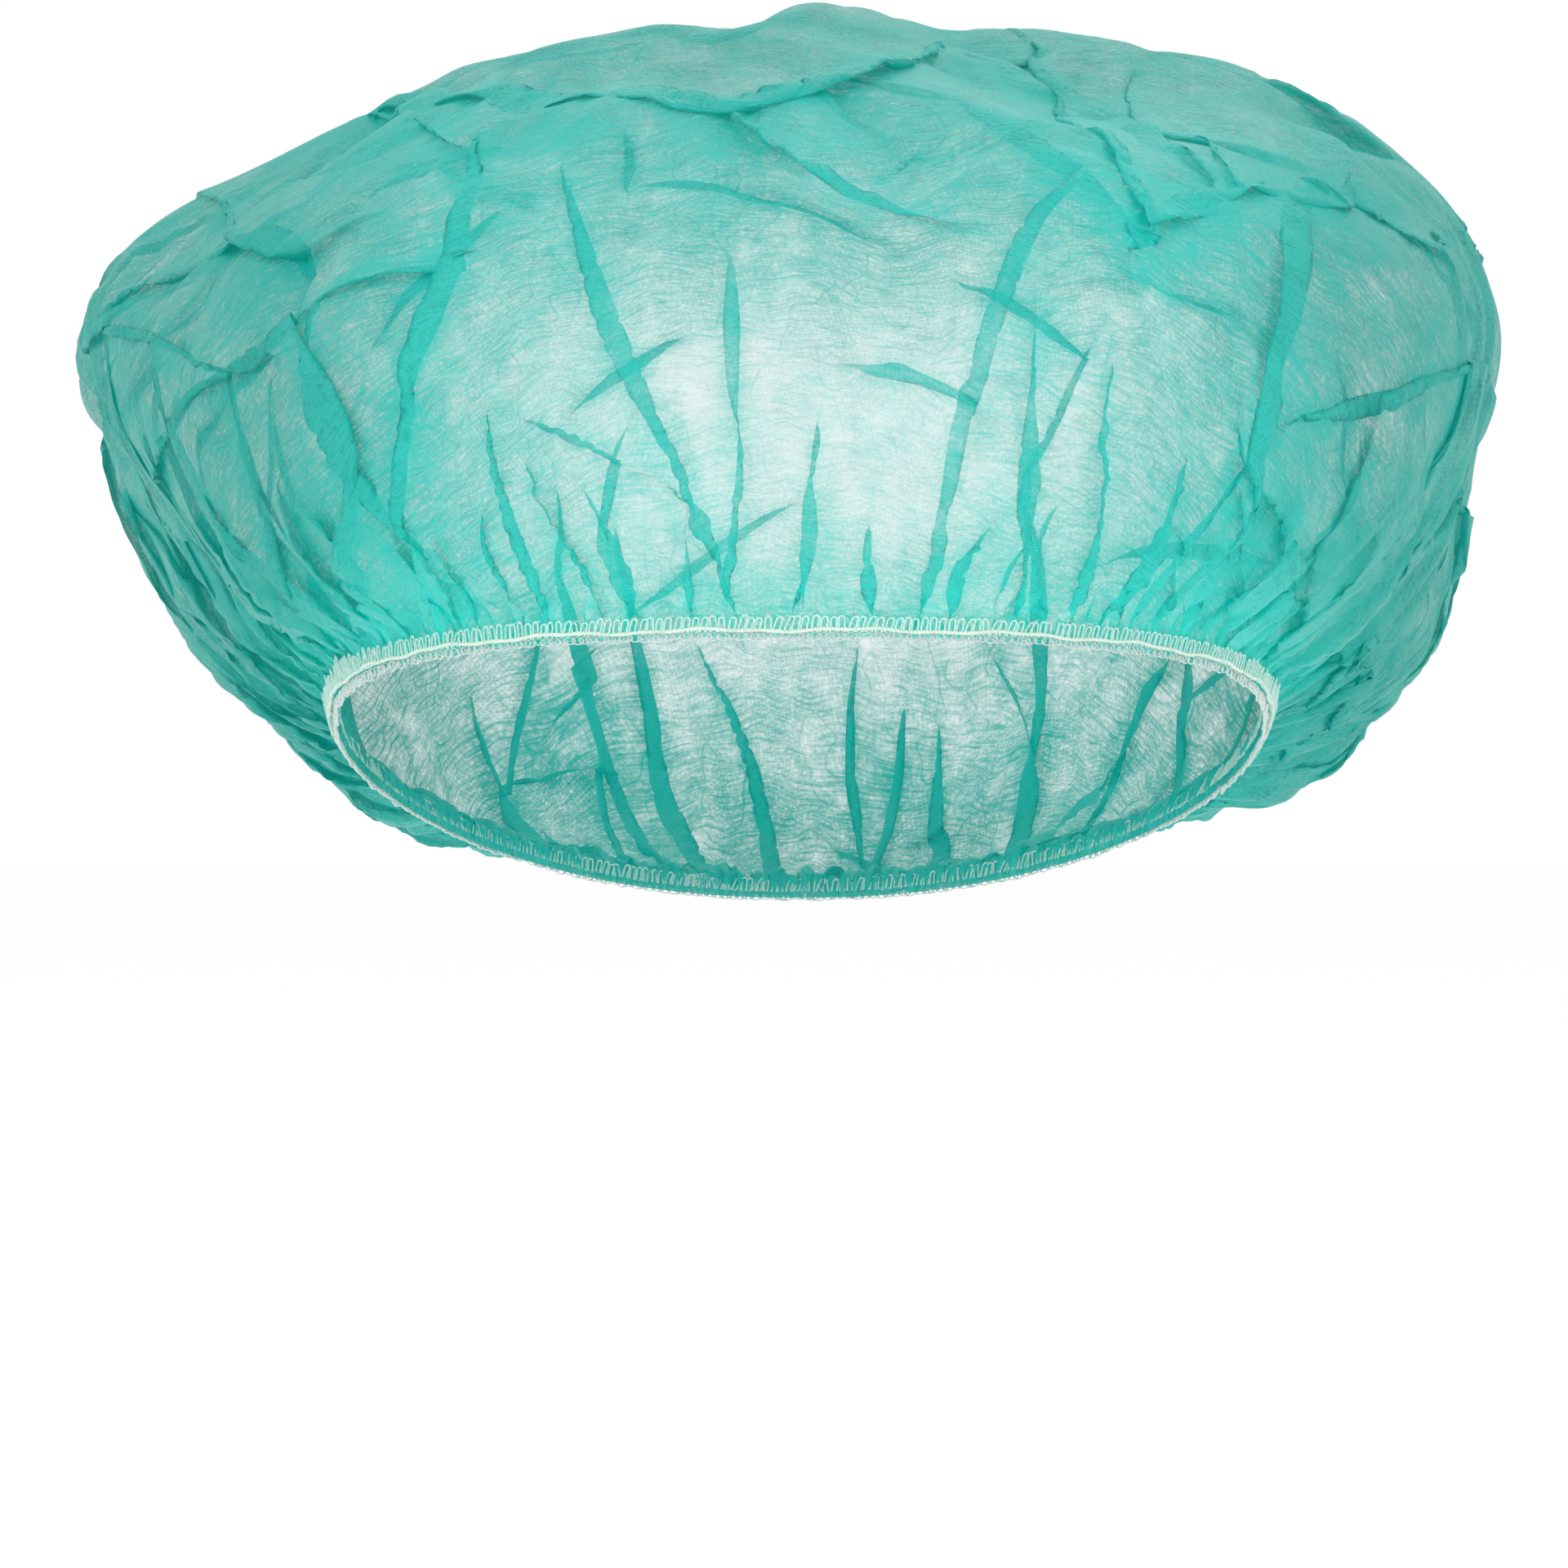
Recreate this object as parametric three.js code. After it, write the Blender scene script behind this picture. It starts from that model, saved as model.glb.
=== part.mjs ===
// A disposable hair cover cap in its worn shape: a thin puffed crown of non-woven cloth, gathered
// at its edge onto an elastic band. Millimetres, +Z up, with the forehead towards -Y.
// The origin is the middle of the head opening.
import * as THREE from "three";

// Head opening, measured at the edge of the cloth
const openingWidth = 156;
const openingLength = 190;
const openingSquareness = 2.15; // 2 is a plain ellipse
const foreheadRise = 21.5; // edge above the origin at the forehead
const napeDrop = 22; // edge below the origin at the nape
const earLift = 8; // how far the edge bows up between the two, over the ears

// Crown
const crownHeight = 131;
const crownLean = 10; // how far behind the origin the top stands
const puff = 58; // furthest that the cloth stands out beyond the edge
const meridianLength = 250; // usual length of cloth from the edge to the top
const clothWall = 1;
const hemHeight = 6; // plain strip that the elastic is sewn to

// Gathers above the hem
const gatherCount = 52;
const gatherDepth = 2;
const gatherReach = 30; // length of cloth over which they die out
const gatherUnevenness = 0.25; // share of their depth that comes and goes round the cap

// Folds and dents
const foldOnset = 0.15; // share of a fold's length over which it rises to its full depth
const smoothTop = 26; // radius of the middle of the top, which they leave smooth

// Elastic band, sewn on outside the hem
const elasticWidth = 3;
const elasticThickness = 1.2;
const elasticEdge = 1; // cloth left showing below the band
const elasticClearance = 0.3;

// Mesh fineness
const columnsPerGather = 2;
const rows = 24;
const rowEase = 0.4; // how much closer the rows stand near the hem
const columns = gatherCount * columnsPerGather;

// Sections of the crown, by degrees round from +X, with the nape at 90 and the forehead at 270.
// out: how far the widest place stands out, as a share of puff
// level: height of the widest place, as a share of crownHeight
// lip: how far the cloth first runs out from the hem, as a share of that stand-out
// rise: how steeply it leaves the hem, as height for each unit outwards
// under: fullness below the widest place; over 1 the cloth droops before it turns up
// over: fullness above the widest place
// flat: how far the cloth runs level from the top, as a share of the radius
const crownSections = [
  { at: 0, out: 0.72, level: 0.56, lip: 0.45, rise: 0.2, under: 0.2, over: 0.52, flat: 0.62 },
  { at: 30, out: 0.84, level: 0.44, lip: 0.5, rise: 0.05, under: 0.95, over: 0.64, flat: 0.6 },
  { at: 60, out: 0.92, level: 0.34, lip: 0.5, rise: 0, under: 1.1, over: 0.64, flat: 0.54 },
  { at: 90, out: 1.0, level: 0.3, lip: 0.5, rise: 0, under: 1.4, over: 0.62, flat: 0.5 },
  { at: 120, out: 0.94, level: 0.34, lip: 0.5, rise: 0, under: 1.15, over: 0.58, flat: 0.5 },
  { at: 150, out: 0.82, level: 0.44, lip: 0.5, rise: 0.1, under: 0.75, over: 0.5, flat: 0.42 },
  { at: 180, out: 0.77, level: 0.55, lip: 0.42, rise: 0.4, under: 0.1, over: 0.38, flat: 0.36 },
  { at: 210, out: 0.6, level: 0.54, lip: 0.42, rise: 0.6, under: 0.3, over: 0.46, flat: 0.3 },
  { at: 240, out: 0.34, level: 0.48, lip: 0.5, rise: 0.9, under: 0.5, over: 0.48, flat: 0.26 },
  { at: 270, out: 0.2, level: 0.45, lip: 0.6, rise: 1.2, under: 0.6, over: 0.56, flat: 0.34 },
  { at: 300, out: 0.34, level: 0.48, lip: 0.5, rise: 0.9, under: 0.55, over: 0.55, flat: 0.42 },
  { at: 330, out: 0.56, level: 0.54, lip: 0.42, rise: 0.5, under: 0.4, over: 0.5, flat: 0.5 },
];

// Long folds and creases. Each runs between two places, given by degrees round and by share of the
// way from the edge to the top. half: half its width, as a share of openingWidth; depth: how far it
// stands out, as a share of puff, and below 0 it is a furrow.
const crownFolds = [
  { from: 262, rise: 0.03, to: 243, top: 0.66, half: 0.06, depth: 0.12 },
  { from: 266, rise: 0.03, to: 264, top: 0.56, half: 0.05, depth: 0.09 },
  { from: 258, rise: 0.08, to: 234, top: 0.34, half: 0.06, depth: 0.08 },
  { from: 276, rise: 0.03, to: 271, top: 0.42, half: 0.05, depth: 0.07 },
  { from: 286, rise: 0.03, to: 300, top: 0.56, half: 0.06, depth: 0.12 },
  { from: 306, rise: 0.03, to: 312, top: 0.46, half: 0.05, depth: 0.1 },
  { from: 322, rise: 0.04, to: 337, top: 0.66, half: 0.07, depth: 0.12 },
  { from: 222, rise: 0.04, to: 236, top: 0.7, half: 0.07, depth: 0.12 },
  { from: 204, rise: 0.05, to: 215, top: 0.44, half: 0.07, depth: 0.1 },
  { from: 188, rise: 0.06, to: 174, top: 0.3, half: 0.07, depth: 0.06 },
  { from: 348, rise: 0.06, to: 356, top: 0.3, half: 0.07, depth: 0.06 },
  { from: 14, rise: 0.1, to: 10, top: 0.55, half: 0.08, depth: -0.12 },
  { from: 40, rise: 0.06, to: 34, top: 0.6, half: 0.08, depth: 0.12 },
  { from: 62, rise: 0.06, to: 70, top: 0.5, half: 0.09, depth: -0.14 },
  { from: 84, rise: 0.05, to: 80, top: 0.62, half: 0.08, depth: 0.12 },
  { from: 104, rise: 0.06, to: 112, top: 0.5, half: 0.09, depth: -0.14 },
  { from: 126, rise: 0.05, to: 130, top: 0.62, half: 0.08, depth: 0.12 },
  { from: 150, rise: 0.06, to: 144, top: 0.5, half: 0.08, depth: -0.12 },
  { from: 168, rise: 0.34, to: 206, top: 0.6, half: 0.07, depth: 0.07 },
  { from: 305, rise: 0.54, to: 318, top: 0.9, half: 0.09, depth: -0.14 },
  { from: 306, rise: 0.55, to: 342, top: 0.68, half: 0.09, depth: -0.1 },
  { from: 232, rise: 0.58, to: 284, top: 0.64, half: 0.07, depth: 0.07 },
  { from: 200, rise: 0.66, to: 150, top: 0.84, half: 0.08, depth: 0.05 },
  { from: 30, rise: 0.68, to: 96, top: 0.86, half: 0.08, depth: 0.09 },
  { from: 100, rise: 0.66, to: 146, top: 0.74, half: 0.08, depth: -0.1 },
];

// Broad dents and lobes: spread is their radius as a share of openingWidth
const crownDents = [
  { at: 316, rise: 0.72, spread: 0.17, depth: -0.1 },
  { at: 352, rise: 0.9, spread: 0.08, depth: -0.05 },
  { at: 246, rise: 0.92, spread: 0.12, depth: 0.04 },
  { at: 12, rise: 0.3, spread: 0.1, depth: -0.1 },
  { at: 14, rise: 0.18, spread: 0.1, depth: 0.1 },
  { at: 205, rise: 0.5, spread: 0.14, depth: -0.05 },
  { at: 176, rise: 0.24, spread: 0.09, depth: -0.06 },
  { at: 75, rise: 0.75, spread: 0.2, depth: -0.1 },
  { at: 130, rise: 0.82, spread: 0.16, depth: 0.06 },
  { at: 96, rise: 0.3, spread: 0.15, depth: -0.1 },
];

const degrees = THREE.MathUtils.DEG2RAD;
const halfTurn = 180;
const fullTurn = 360;

// Degrees from one direction to another, the short way round
function turnBetween(from, to) {
  return THREE.MathUtils.euclideanModulo(to - from + halfTurn, fullTurn) - halfTurn;
}

// A column of a table of sections at any direction, smoothly between its rows
function sectionValue(table, name, at) {
  const step = fullTurn / table.length;
  const place = THREE.MathUtils.euclideanModulo(at, fullTurn) / step;
  const row = Math.floor(place);
  const [before, here, next, after] = [-1, 0, 1, 2].map(
    (shift) => table[(row + shift + table.length) % table.length][name],
  );
  const t = place - row;
  const pull = (next - before) / 2;
  const push = (after - here) / 2;
  const bend = 2 * (here - next) + pull + push;
  return here + t * (pull + t * (next - here - pull - bend + t * bend));
}

// The edge of the cloth: its distance from the origin's axis and its height
function openingRadius(at) {
  const across = Math.abs(Math.cos(at * degrees)) / (openingWidth / 2);
  const along = Math.abs(Math.sin(at * degrees)) / (openingLength / 2);
  const sum = across ** openingSquareness + along ** openingSquareness;
  return sum ** (-1 / openingSquareness);
}

function openingHeight(at) {
  const back = Math.sin(at * degrees) * openingRadius(at) / (openingLength / 2);
  const middle = (foreheadRise - napeDrop) / 2;
  const tilt = (foreheadRise + napeDrop) / 2;
  return middle - tilt * back + earLift * (1 - back * back);
}

// The crown's section at one direction: distance from the axis against height, edge first
function crownSection(at) {
  const value = (name) => sectionValue(crownSections, name, at);
  const inside = openingRadius(at);
  const edge = openingHeight(at);
  const hem = edge + hemHeight;
  const standOut = value("out") * puff;
  const widest = inside + standOut;
  const level = value("level") * crownHeight;
  const lip = value("lip") * standOut;
  const section = new THREE.CurvePath();
  section.add(
    new THREE.LineCurve(new THREE.Vector2(inside, edge), new THREE.Vector2(inside, hem)),
  );
  section.add(
    new THREE.CubicBezierCurve(
      new THREE.Vector2(inside, hem),
      new THREE.Vector2(inside + lip, hem + value("rise") * lip),
      new THREE.Vector2(widest, level - value("under") * (level - hem)),
      new THREE.Vector2(widest, level),
    ),
  );
  section.add(
    new THREE.CubicBezierCurve(
      new THREE.Vector2(widest, level),
      new THREE.Vector2(widest, level + value("over") * (crownHeight - level)),
      new THREE.Vector2(value("flat") * widest, crownHeight),
      new THREE.Vector2(0, crownHeight),
    ),
  );
  return section;
}

// How far the gathers push the cloth out, dying away above the hem
function gatherPush(at, length) {
  const above = Math.max(0, length - hemHeight);
  const swell = Math.min(1, above / hemHeight) * Math.exp(-above / gatherReach);
  const slow = Math.sin(3 * at * degrees);
  const quick = Math.sin(7 * at * degrees);
  const uneven = 1 - gatherUnevenness * (1 + slow * quick);
  return gatherDepth * swell * uneven * Math.cos(gatherCount * at * degrees + slow / 2);
}

// How far one fold pushes the cloth out: a tent across its line, fading to its two ends
function foldPush(fold, at, share, radius) {
  const lineTurn = turnBetween(fold.from, fold.to) * degrees * radius;
  const lineRise = (fold.top - fold.rise) * meridianLength;
  const turn = turnBetween(fold.from, at) * degrees * radius;
  const rise = (share - fold.rise) * meridianLength;
  const along = (turn * lineTurn + rise * lineRise) / (lineTurn ** 2 + lineRise ** 2);
  const t = THREE.MathUtils.clamp(along, 0, 1);
  const away = Math.hypot(turn - t * lineTurn, rise - t * lineRise);
  const tent = Math.max(0, 1 - away / (fold.half * openingWidth));
  const fade = Math.min(1, t / foldOnset) * (1 - t ** 3);
  return fold.depth * puff * fade * tent;
}

// How far one dent or lobe pushes the cloth out
function dentPush(dent, at, share, radius) {
  const turn = turnBetween(dent.at, at) * degrees * radius;
  const rise = (share - dent.rise) * meridianLength;
  const away = Math.hypot(turn, rise) / (dent.spread * openingWidth);
  return dent.depth * puff * Math.exp(-away * away);
}

// A point of the crown's outer face, and how far up the cloth it lies
function crownPoint(section, at, share) {
  const here = section.getPointAt(share);
  const along = section.getTangentAt(share);
  const length = share * section.getLength();
  const clearOfHem = THREE.MathUtils.smoothstep(length, hemHeight, 4 * hemHeight);
  const radius = Math.max(here.x, clothWall);
  const clearOfTop = THREE.MathUtils.smoothstep(radius, 0, smoothTop);
  let push = 0;
  for (const fold of crownFolds) push += foldPush(fold, at, share, radius);
  for (const dent of crownDents) push += dentPush(dent, at, share, radius);
  push = push * clearOfHem * clearOfTop + gatherPush(at, length);
  const reach = here.x + push * along.y;
  const height = here.y - push * along.x;
  const lean = crownLean * THREE.MathUtils.smoothstep(height, foreheadRise, crownHeight);
  return new THREE.Vector3(
    reach * Math.cos(at * degrees),
    reach * Math.sin(at * degrees) + lean,
    height,
  );
}

// Shares of the way up at which the crown's rows lie: the edge, the hem's top, then wider apart
function rowShare(row, length) {
  const hem = hemHeight / length;
  const t = (row - 1) / (rows - 1);
  return row === 0 ? 0 : hem + (1 - hem) * t * (1 - rowEase + rowEase * t);
}

// Triangles of a sheet of rows by columns that closes round on itself, facing out
function sheetFaces(rowCount, firstPoint, faces) {
  for (let row = 0; row + 1 < rowCount; row += 1) {
    for (let column = 0; column < columns; column += 1) {
      const next = (column + 1) % columns;
      const low = firstPoint + row * columns;
      const high = low + columns;
      faces.push(low + column, low + next, high + next);
      faces.push(low + column, high + next, high + column);
    }
  }
}

function geometryOf(points, faces) {
  const geometry = new THREE.BufferGeometry().setFromPoints(points);
  geometry.setIndex(faces);
  return geometry;
}

// The crown: an outer face, an inner face one wall inside it, and the cut edge between them
function crownGeometry() {
  const outer = [];
  const sections = [];
  for (let column = 0; column < columns; column += 1) {
    sections.push(crownSection((fullTurn * column) / columns));
  }
  for (let row = 0; row < rows; row += 1) {
    sections.forEach((section, column) => {
      const share = rowShare(row, section.getLength());
      outer.push(crownPoint(section, (fullTurn * column) / columns, share));
    });
  }
  outer.push(new THREE.Vector3(0, crownLean, crownHeight));
  const top = outer.length - 1;
  const faces = [];
  sheetFaces(rows, 0, faces);
  for (let column = 0; column < columns; column += 1) {
    const next = (column + 1) % columns;
    faces.push(top - columns + column, top - columns + next, top);
  }
  const face = geometryOf(outer, faces);
  face.computeVertexNormals();
  const normals = face.getAttribute("normal");
  const inner = outer.map((point, i) => {
    const normal = new THREE.Vector3().fromBufferAttribute(normals, i);
    if (i < 2 * columns) normal.setZ(0).normalize(); // the hem's wall stays upright
    return point.clone().addScaledVector(normal, -clothWall);
  });
  const count = outer.length;
  const back = [];
  for (let i = 0; i < faces.length; i += 3) {
    back.push(faces[i] + count, faces[i + 2] + count, faces[i + 1] + count);
  }
  const edge = [];
  for (let column = 0; column < columns; column += 1) {
    const next = (column + 1) % columns;
    edge.push(column, column + count, next + count, column, next + count, next);
  }
  return geometryOf([...outer, ...inner], [...faces, ...back, ...edge]);
}

// The elastic: a flat band that follows the cloth's edge, just outside the hem
function elasticGeometry() {
  const inside = elasticClearance;
  const outside = inside + elasticThickness;
  const corners = [
    { out: inside, up: elasticEdge },
    { out: outside, up: elasticEdge },
    { out: outside, up: elasticEdge + elasticWidth },
    { out: inside, up: elasticEdge + elasticWidth },
  ];
  const points = [];
  for (const corner of [...corners, corners[0]]) {
    for (let column = 0; column < columns; column += 1) {
      const at = (fullTurn * column) / columns;
      const radius = openingRadius(at) + corner.out;
      points.push(
        new THREE.Vector3(
          radius * Math.cos(at * degrees),
          radius * Math.sin(at * degrees),
          openingHeight(at) + corner.up,
        ),
      );
    }
  }
  const faces = [];
  sheetFaces(corners.length + 1, 0, faces);
  return geometryOf(points, faces);
}

function namedMesh(name, geometry, colour, roughness) {
  const finish = new THREE.MeshStandardMaterial({ color: colour, roughness, metalness: 0 });
  const mesh = new THREE.Mesh(geometry, finish);
  mesh.name = name;
  return mesh;
}

const cap = new THREE.Group();
cap.add(namedMesh("crown", crownGeometry(), 0x38b8a0, 0.7));
cap.add(namedMesh("elastic_band", elasticGeometry(), 0xe9e6d6, 0.8));

export default cap;
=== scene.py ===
import math

import bmesh
import bpy
import numpy as np
from mathutils import Matrix, Vector, noise
from mathutils.bvhtree import BVHTree


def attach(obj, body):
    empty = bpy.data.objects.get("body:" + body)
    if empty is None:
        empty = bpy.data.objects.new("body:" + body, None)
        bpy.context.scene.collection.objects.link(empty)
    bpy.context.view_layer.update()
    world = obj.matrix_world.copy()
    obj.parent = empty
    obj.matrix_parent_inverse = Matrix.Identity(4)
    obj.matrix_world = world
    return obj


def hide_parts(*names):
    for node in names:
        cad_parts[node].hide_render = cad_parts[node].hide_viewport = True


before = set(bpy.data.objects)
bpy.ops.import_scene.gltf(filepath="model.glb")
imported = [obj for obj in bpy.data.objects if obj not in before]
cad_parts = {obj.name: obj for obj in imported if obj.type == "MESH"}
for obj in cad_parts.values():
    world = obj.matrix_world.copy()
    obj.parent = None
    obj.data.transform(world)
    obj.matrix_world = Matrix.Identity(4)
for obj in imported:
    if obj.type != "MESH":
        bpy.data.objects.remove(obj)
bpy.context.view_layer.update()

# Studio: camera, floor and lights

view = {
    "place": (-0.0027, -1.2, 0.0),
    "lens": 164.0,
    "sensor": 36.0,
}

studio = {
    "floor": -0.15,
    "halfWidth": 12.0,
    "paper": (0.99, 0.99, 0.99, 1.0),
    "world": (1.0, 1.0, 1.0, 1.0),
    "worldStrength": 1.0,
    "aim": (0.0, 0.0, 0.05),
    "backAim": (0.0, 0.1, 0.05),
}


def addCamera():
    data = bpy.data.cameras.new("camera")
    data.lens = view["lens"]
    data.sensor_width = view["sensor"]
    data.clip_end = 50
    lookout = bpy.data.objects.new("camera", data)
    lookout.location = view["place"]
    lookout.rotation_euler = (math.pi / 2, 0, 0)
    bpy.context.collection.objects.link(lookout)
    bpy.context.scene.camera = lookout


def addLight(name, place, aim, size, power, tint):
    data = bpy.data.lights.new(name, "AREA")
    data.energy = power
    data.size = size
    data.color = tint
    lamp = bpy.data.objects.new(name, data)
    lamp.location = place
    lamp.rotation_euler = (Vector(aim) - Vector(place)).to_track_quat("-Z", "Y").to_euler()
    bpy.context.collection.objects.link(lamp)


def addStudio():
    bm = bmesh.new()
    bmesh.ops.create_grid(bm, x_segments=1, y_segments=1, size=studio["halfWidth"])
    bmesh.ops.translate(bm, verts=bm.verts[:], vec=(0, 0, studio["floor"]))
    mesh = bpy.data.meshes.new("floor")
    bm.to_mesh(mesh)
    bm.free()
    floor = bpy.data.objects.new("floor", mesh)
    bpy.context.collection.objects.link(floor)
    paper = bpy.data.materials.new("studio paper")
    paper.use_nodes = True
    shader = paper.node_tree.nodes["Principled BSDF"]
    shader.inputs["Base Color"].default_value = studio["paper"]
    shader.inputs["Roughness"].default_value = 0.9
    mesh.materials.append(paper)
    sky = bpy.data.worlds.new("studio light")
    sky.use_nodes = True
    sky.node_tree.nodes["Background"].inputs["Color"].default_value = studio["world"]
    sky.node_tree.nodes["Background"].inputs["Strength"].default_value = studio["worldStrength"]
    bpy.context.scene.world = sky
    addLight("key", (-0.9, -1.3, 1.1), studio["aim"], 1.0, 9, (1.0, 0.995, 0.985))
    addLight("fill", (1.3, -1.0, 0.6), studio["aim"], 1.2, 4, (0.97, 0.99, 1.0))
    addLight("back", (0.2, 0.9, 1.3), studio["backAim"], 1.0, 3, (1.0, 1.0, 1.0))
    bpy.context.scene.view_settings.view_transform = "Standard"


addCamera()
addStudio()
print("studio ready")

# Envelope: the outer surface of the crown as meridians from the top to the hem

envelope = {
    "centre": (0.0, 0.010, 0.050),
    "around": 192,
    "along": 72,
    "rings": 160,
    "rayFrom": 0.4,
    "blurAround": 2.0,
    "blurAlong": 0.8,
    "bandBlur": 0.05,
    "hemInset": 0.0012,
    "hemDrop": 0.0012,
}


def meshPoints(mesh):
    values = np.empty(len(mesh.vertices) * 3)
    mesh.vertices.foreach_get("co", values)
    return values.reshape(-1, 3)


def blurTable(table, sigma, axis, wrap):
    reach = int(math.ceil(sigma * 3))
    total = np.zeros_like(table)
    weightSum = 0.0
    for k in range(-reach, reach + 1):
        weight = math.exp(-0.5 * (k / sigma) ** 2)
        if wrap:
            moved = np.roll(table, k, axis)
        else:
            places = np.clip(np.arange(table.shape[axis]) + k, 0, table.shape[axis] - 1)
            moved = np.take(table, places, axis)
        total += moved * weight
        weightSum += weight
    return total / weightSum


def hemCurve(count):
    # middle line of the band, seen from the envelope's centre
    spots = meshPoints(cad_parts["elastic_band"].data) - np.array((*envelope["centre"][:2], 0.0))
    turns = np.arctan2(spots[:, 1], spots[:, 0])
    far = np.hypot(spots[:, 0], spots[:, 1])
    out = np.empty((count, 2))
    for k in range(count):
        gap = np.angle(np.exp(1j * (turns - 2 * math.pi * k / count)))
        weight = np.exp(-0.5 * (gap / envelope["bandBlur"]) ** 2)
        out[k, 0] = (far * weight).sum() / weight.sum()
        out[k, 1] = (spots[:, 2] * weight).sum() / weight.sum()
    return out


def readEnvelope():
    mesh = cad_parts["crown"].data
    tree = BVHTree.FromPolygons([v.co for v in mesh.vertices], [p.vertices[:] for p in mesh.polygons])
    around, along = envelope["around"], envelope["along"]
    centre = Vector(envelope["centre"])
    hem = hemCurve(around)
    radii = np.empty((around, along + 1))
    tilts = np.empty((around, along + 1))
    for i in range(around):
        turn = 2 * math.pi * i / around
        side = hem[i, 0] - envelope["hemInset"]
        drop = hem[i, 1] - centre.z - envelope["hemDrop"]
        lowest = math.atan2(side, drop)
        for k in range(along + 1):
            tilt = lowest * k / along
            level = math.sin(tilt)
            ray = Vector((level * math.cos(turn), level * math.sin(turn), math.cos(tilt)))
            hit = tree.ray_cast(centre + ray * envelope["rayFrom"], -ray)[0]
            tilts[i, k] = tilt
            edge = math.hypot(side, drop)
            radii[i, k] = (hit - centre).length if hit is not None and k < along else edge
    blurred = blurTable(blurTable(radii, envelope["blurAround"], 0, True), envelope["blurAlong"], 1, False)
    radii[:, :-2] = blurred[:, :-2]
    turns = 2 * math.pi * np.arange(around)[:, None] / around
    table = np.empty((around, along + 1, 3))
    table[:, :, 0] = radii * np.sin(tilts) * np.cos(turns) + centre.x
    table[:, :, 1] = radii * np.sin(tilts) * np.sin(turns) + centre.y
    table[:, :, 2] = radii * np.cos(tilts) + centre.z
    # even steps of arc length down each meridian
    rings = envelope["rings"]
    even = np.empty((around, rings + 1, 3))
    for i in range(around):
        steps = np.linalg.norm(np.diff(table[i], axis=0), axis=1)
        run = np.concatenate(([0.0], np.cumsum(steps)))
        for axis in range(3):
            even[i, :, axis] = np.interp(np.linspace(0, run[-1], rings + 1), run, table[i, :, axis])
    return even


def onEnvelope(table, turns, shares):
    around, rings = table.shape[0], table.shape[1] - 1
    column = np.mod(turns / (2 * math.pi), 1.0) * around
    left = np.floor(column).astype(int) % around
    right = (left + 1) % around
    across = (column - np.floor(column))[:, None]
    row = np.clip(shares, 0, 1) * rings
    upper = np.minimum(np.floor(row).astype(int), rings - 1)
    down = (row - upper)[:, None]
    top = table[left, upper] * (1 - across) + table[right, upper] * across
    low = table[left, upper + 1] * (1 - across) + table[right, upper + 1] * across
    return top * (1 - down) + low * down


def envelopeNormals(table):
    around = np.roll(table, -1, 0) - np.roll(table, 1, 0)
    down = np.gradient(table, axis=1)
    normals = np.cross(down, around)
    normals[:, 0] = (0, 0, 1)
    size = np.linalg.norm(normals, axis=2)
    normals /= np.maximum(size, 1e-12)[:, :, None]
    normals[:, 1] = normals[:, 2]
    if (normals * (table - np.array(envelope["centre"]))).sum() < 0:
        normals = -normals
        normals[:, 0] = (0, 0, 1)
    return normals


table = readEnvelope()
normalTable = envelopeNormals(table)
print("envelope ready")

# Crown: one flat disc of cloth, gathered onto the hem and laid on the envelope

cloth = {
    "radius": 0.265,
    "topShift": -0.036,
    "cuts": 179,
    "steps": 260,
    "edgePull": 0.85,
    "smooth": 0.08,
    "smoothEvery": 3,
    "outMost": (0.0003, 0.0006, 0.0024, 0.0034, 0.0030),
    "inMost": (0.0012, 0.0020, 0.0045, 0.0070, 0.0055),
    "spare": (2.4, 2.1, 1.36, 1.09, 1.05),
    "lastSmooth": 0.35,
    "atHem": (0.0, 0.005, 0.020, 0.060, 0.200),
    "sideMost": 0.006,
    "homing": 0.02,
    "layerGap": 0.0005,
    "hemClear": 0.006,
}

# how densely the web lies: single cloth, and what each kind of place adds
lay = {
    "steepBlur": 3,
    "steepDense": 0.28,
    "hemDense": 0.5,
    "tuckDense": 0.40,
    "sideTuckDense": 0.90,
    "patchDense": 0.50,
    "baseDense": 0.38,
    "sideDense": 1.05,
    "topDense": 0.85,
    "cornerDense": 2.3,
    "napeDense": 0.45,
    "hemReach": 0.018,
    "cornerReach": 0.05,
    "topFrom": 0.075,
    "topOver": 0.03,
    "bandEdge": 0.0015,
}

# soft-edged ovals of the front, across and up: where the cloth is smooth, where it lies thinnest, and where
# it is painted paler as if lit (painted light)
ovals = {
    "smooth": {"across": 0.004, "up": 0.062, "halfWidth": 0.058, "halfHeight": 0.040, "power": 4},
    "thin": {"across": 0.004, "up": 0.060, "halfWidth": 0.066, "halfHeight": 0.048, "power": 4},
    "lit": {"across": 0.004, "up": 0.045, "halfWidth": 0.076, "halfHeight": 0.064, "power": 6},
}

# the strip of the front hem painted paler as if lit (painted light): its middle, half its width and its
# height above the hem
paintedLightHem = {"across": 0.002, "halfWidth": 0.082, "power": 6, "tall": 0.022}

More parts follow.
